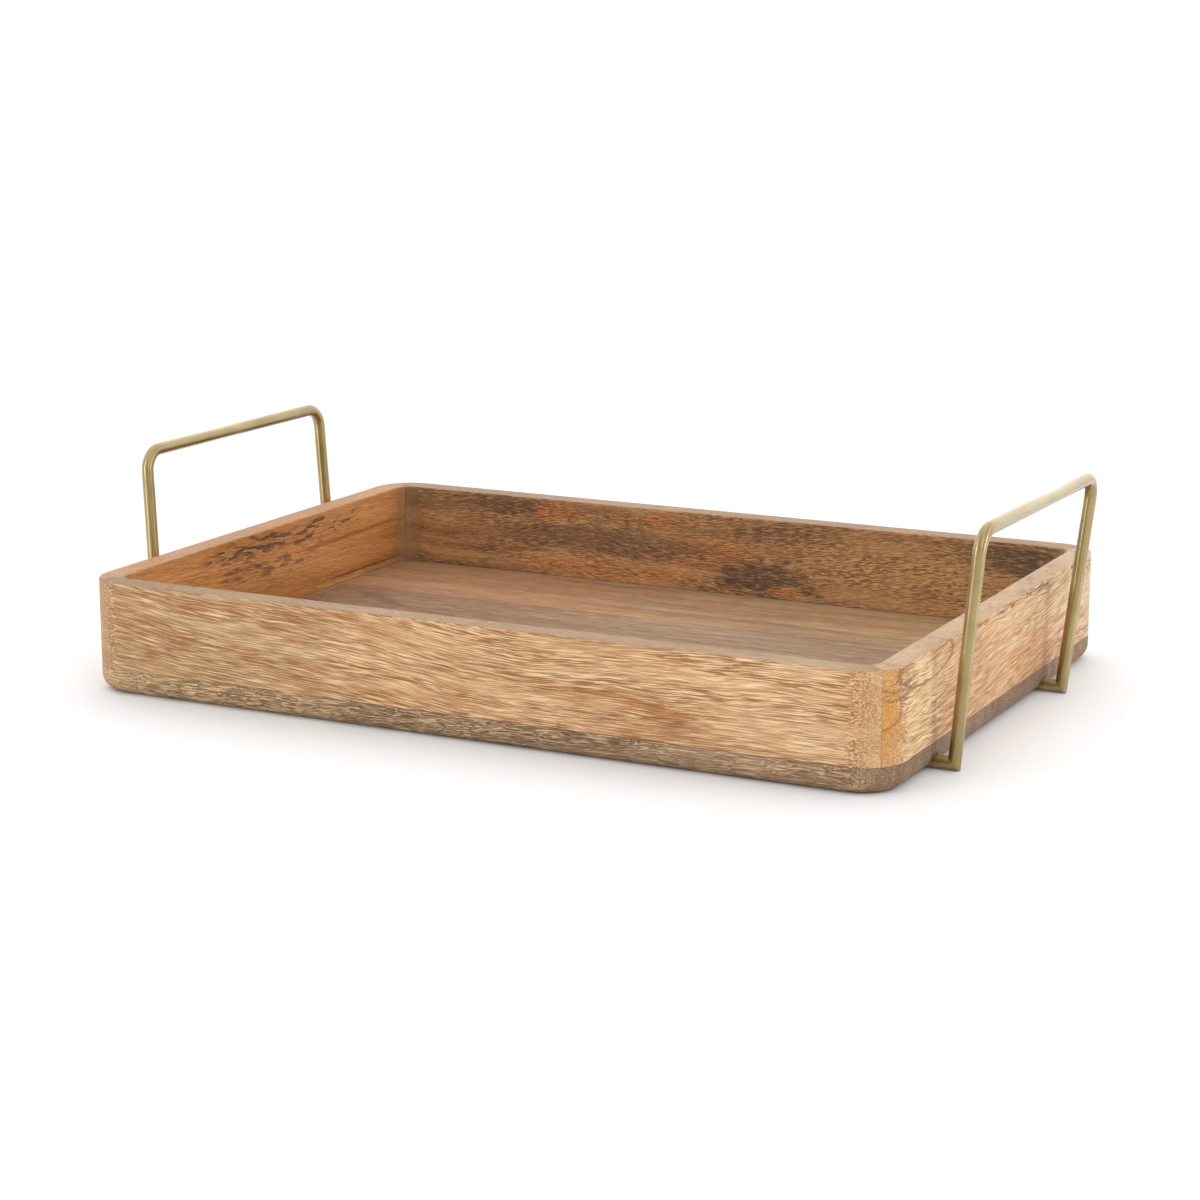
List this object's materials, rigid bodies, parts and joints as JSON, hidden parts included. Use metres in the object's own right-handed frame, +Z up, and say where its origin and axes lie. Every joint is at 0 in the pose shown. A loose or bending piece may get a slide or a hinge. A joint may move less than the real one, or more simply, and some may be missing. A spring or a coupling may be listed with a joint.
{
  "type": "serving tray",
  "caption": "Rectangular wooden serving tray with mitred upright walls on a rounded board, and a bent brass rod handle at each end.",
  "frame": {"origin": "middle of the tray's underside, on the plane that it rests on", "axes": "+X along the tray towards its right handle, +Y across it towards the back wall, +Z up"},
  "size_m": [0.4382, 0.285, 0.1071],
  "materials": {
    "base_wood": "oiled, sanded smooth",
    "wall_wood": "oiled, sanded smooth",
    "handle_brass": "satin polished, pale antique gold",
    "screw_steel": "zinc plated"
  },
  "bodies": {
    "root": {"base_stave_1": "base_wood", "base_stave_2": "base_wood", "base_stave_3": "base_wood", "base_stave_4": "base_wood", "base_stave_5": "base_wood", "base_stave_6": "base_wood", "front_wall": "wall_wood", "right_wall": "wall_wood", "back_wall": "wall_wood", "left_wall": "wall_wood", "right_handle_loop": "handle_brass", "right_front_foot": "handle_brass", "right_back_foot": "handle_brass", "left_handle_loop": "handle_brass", "left_front_foot": "handle_brass", "left_back_foot": "handle_brass", "foot_screws": "screw_steel"}
  },
  "joints": []
}
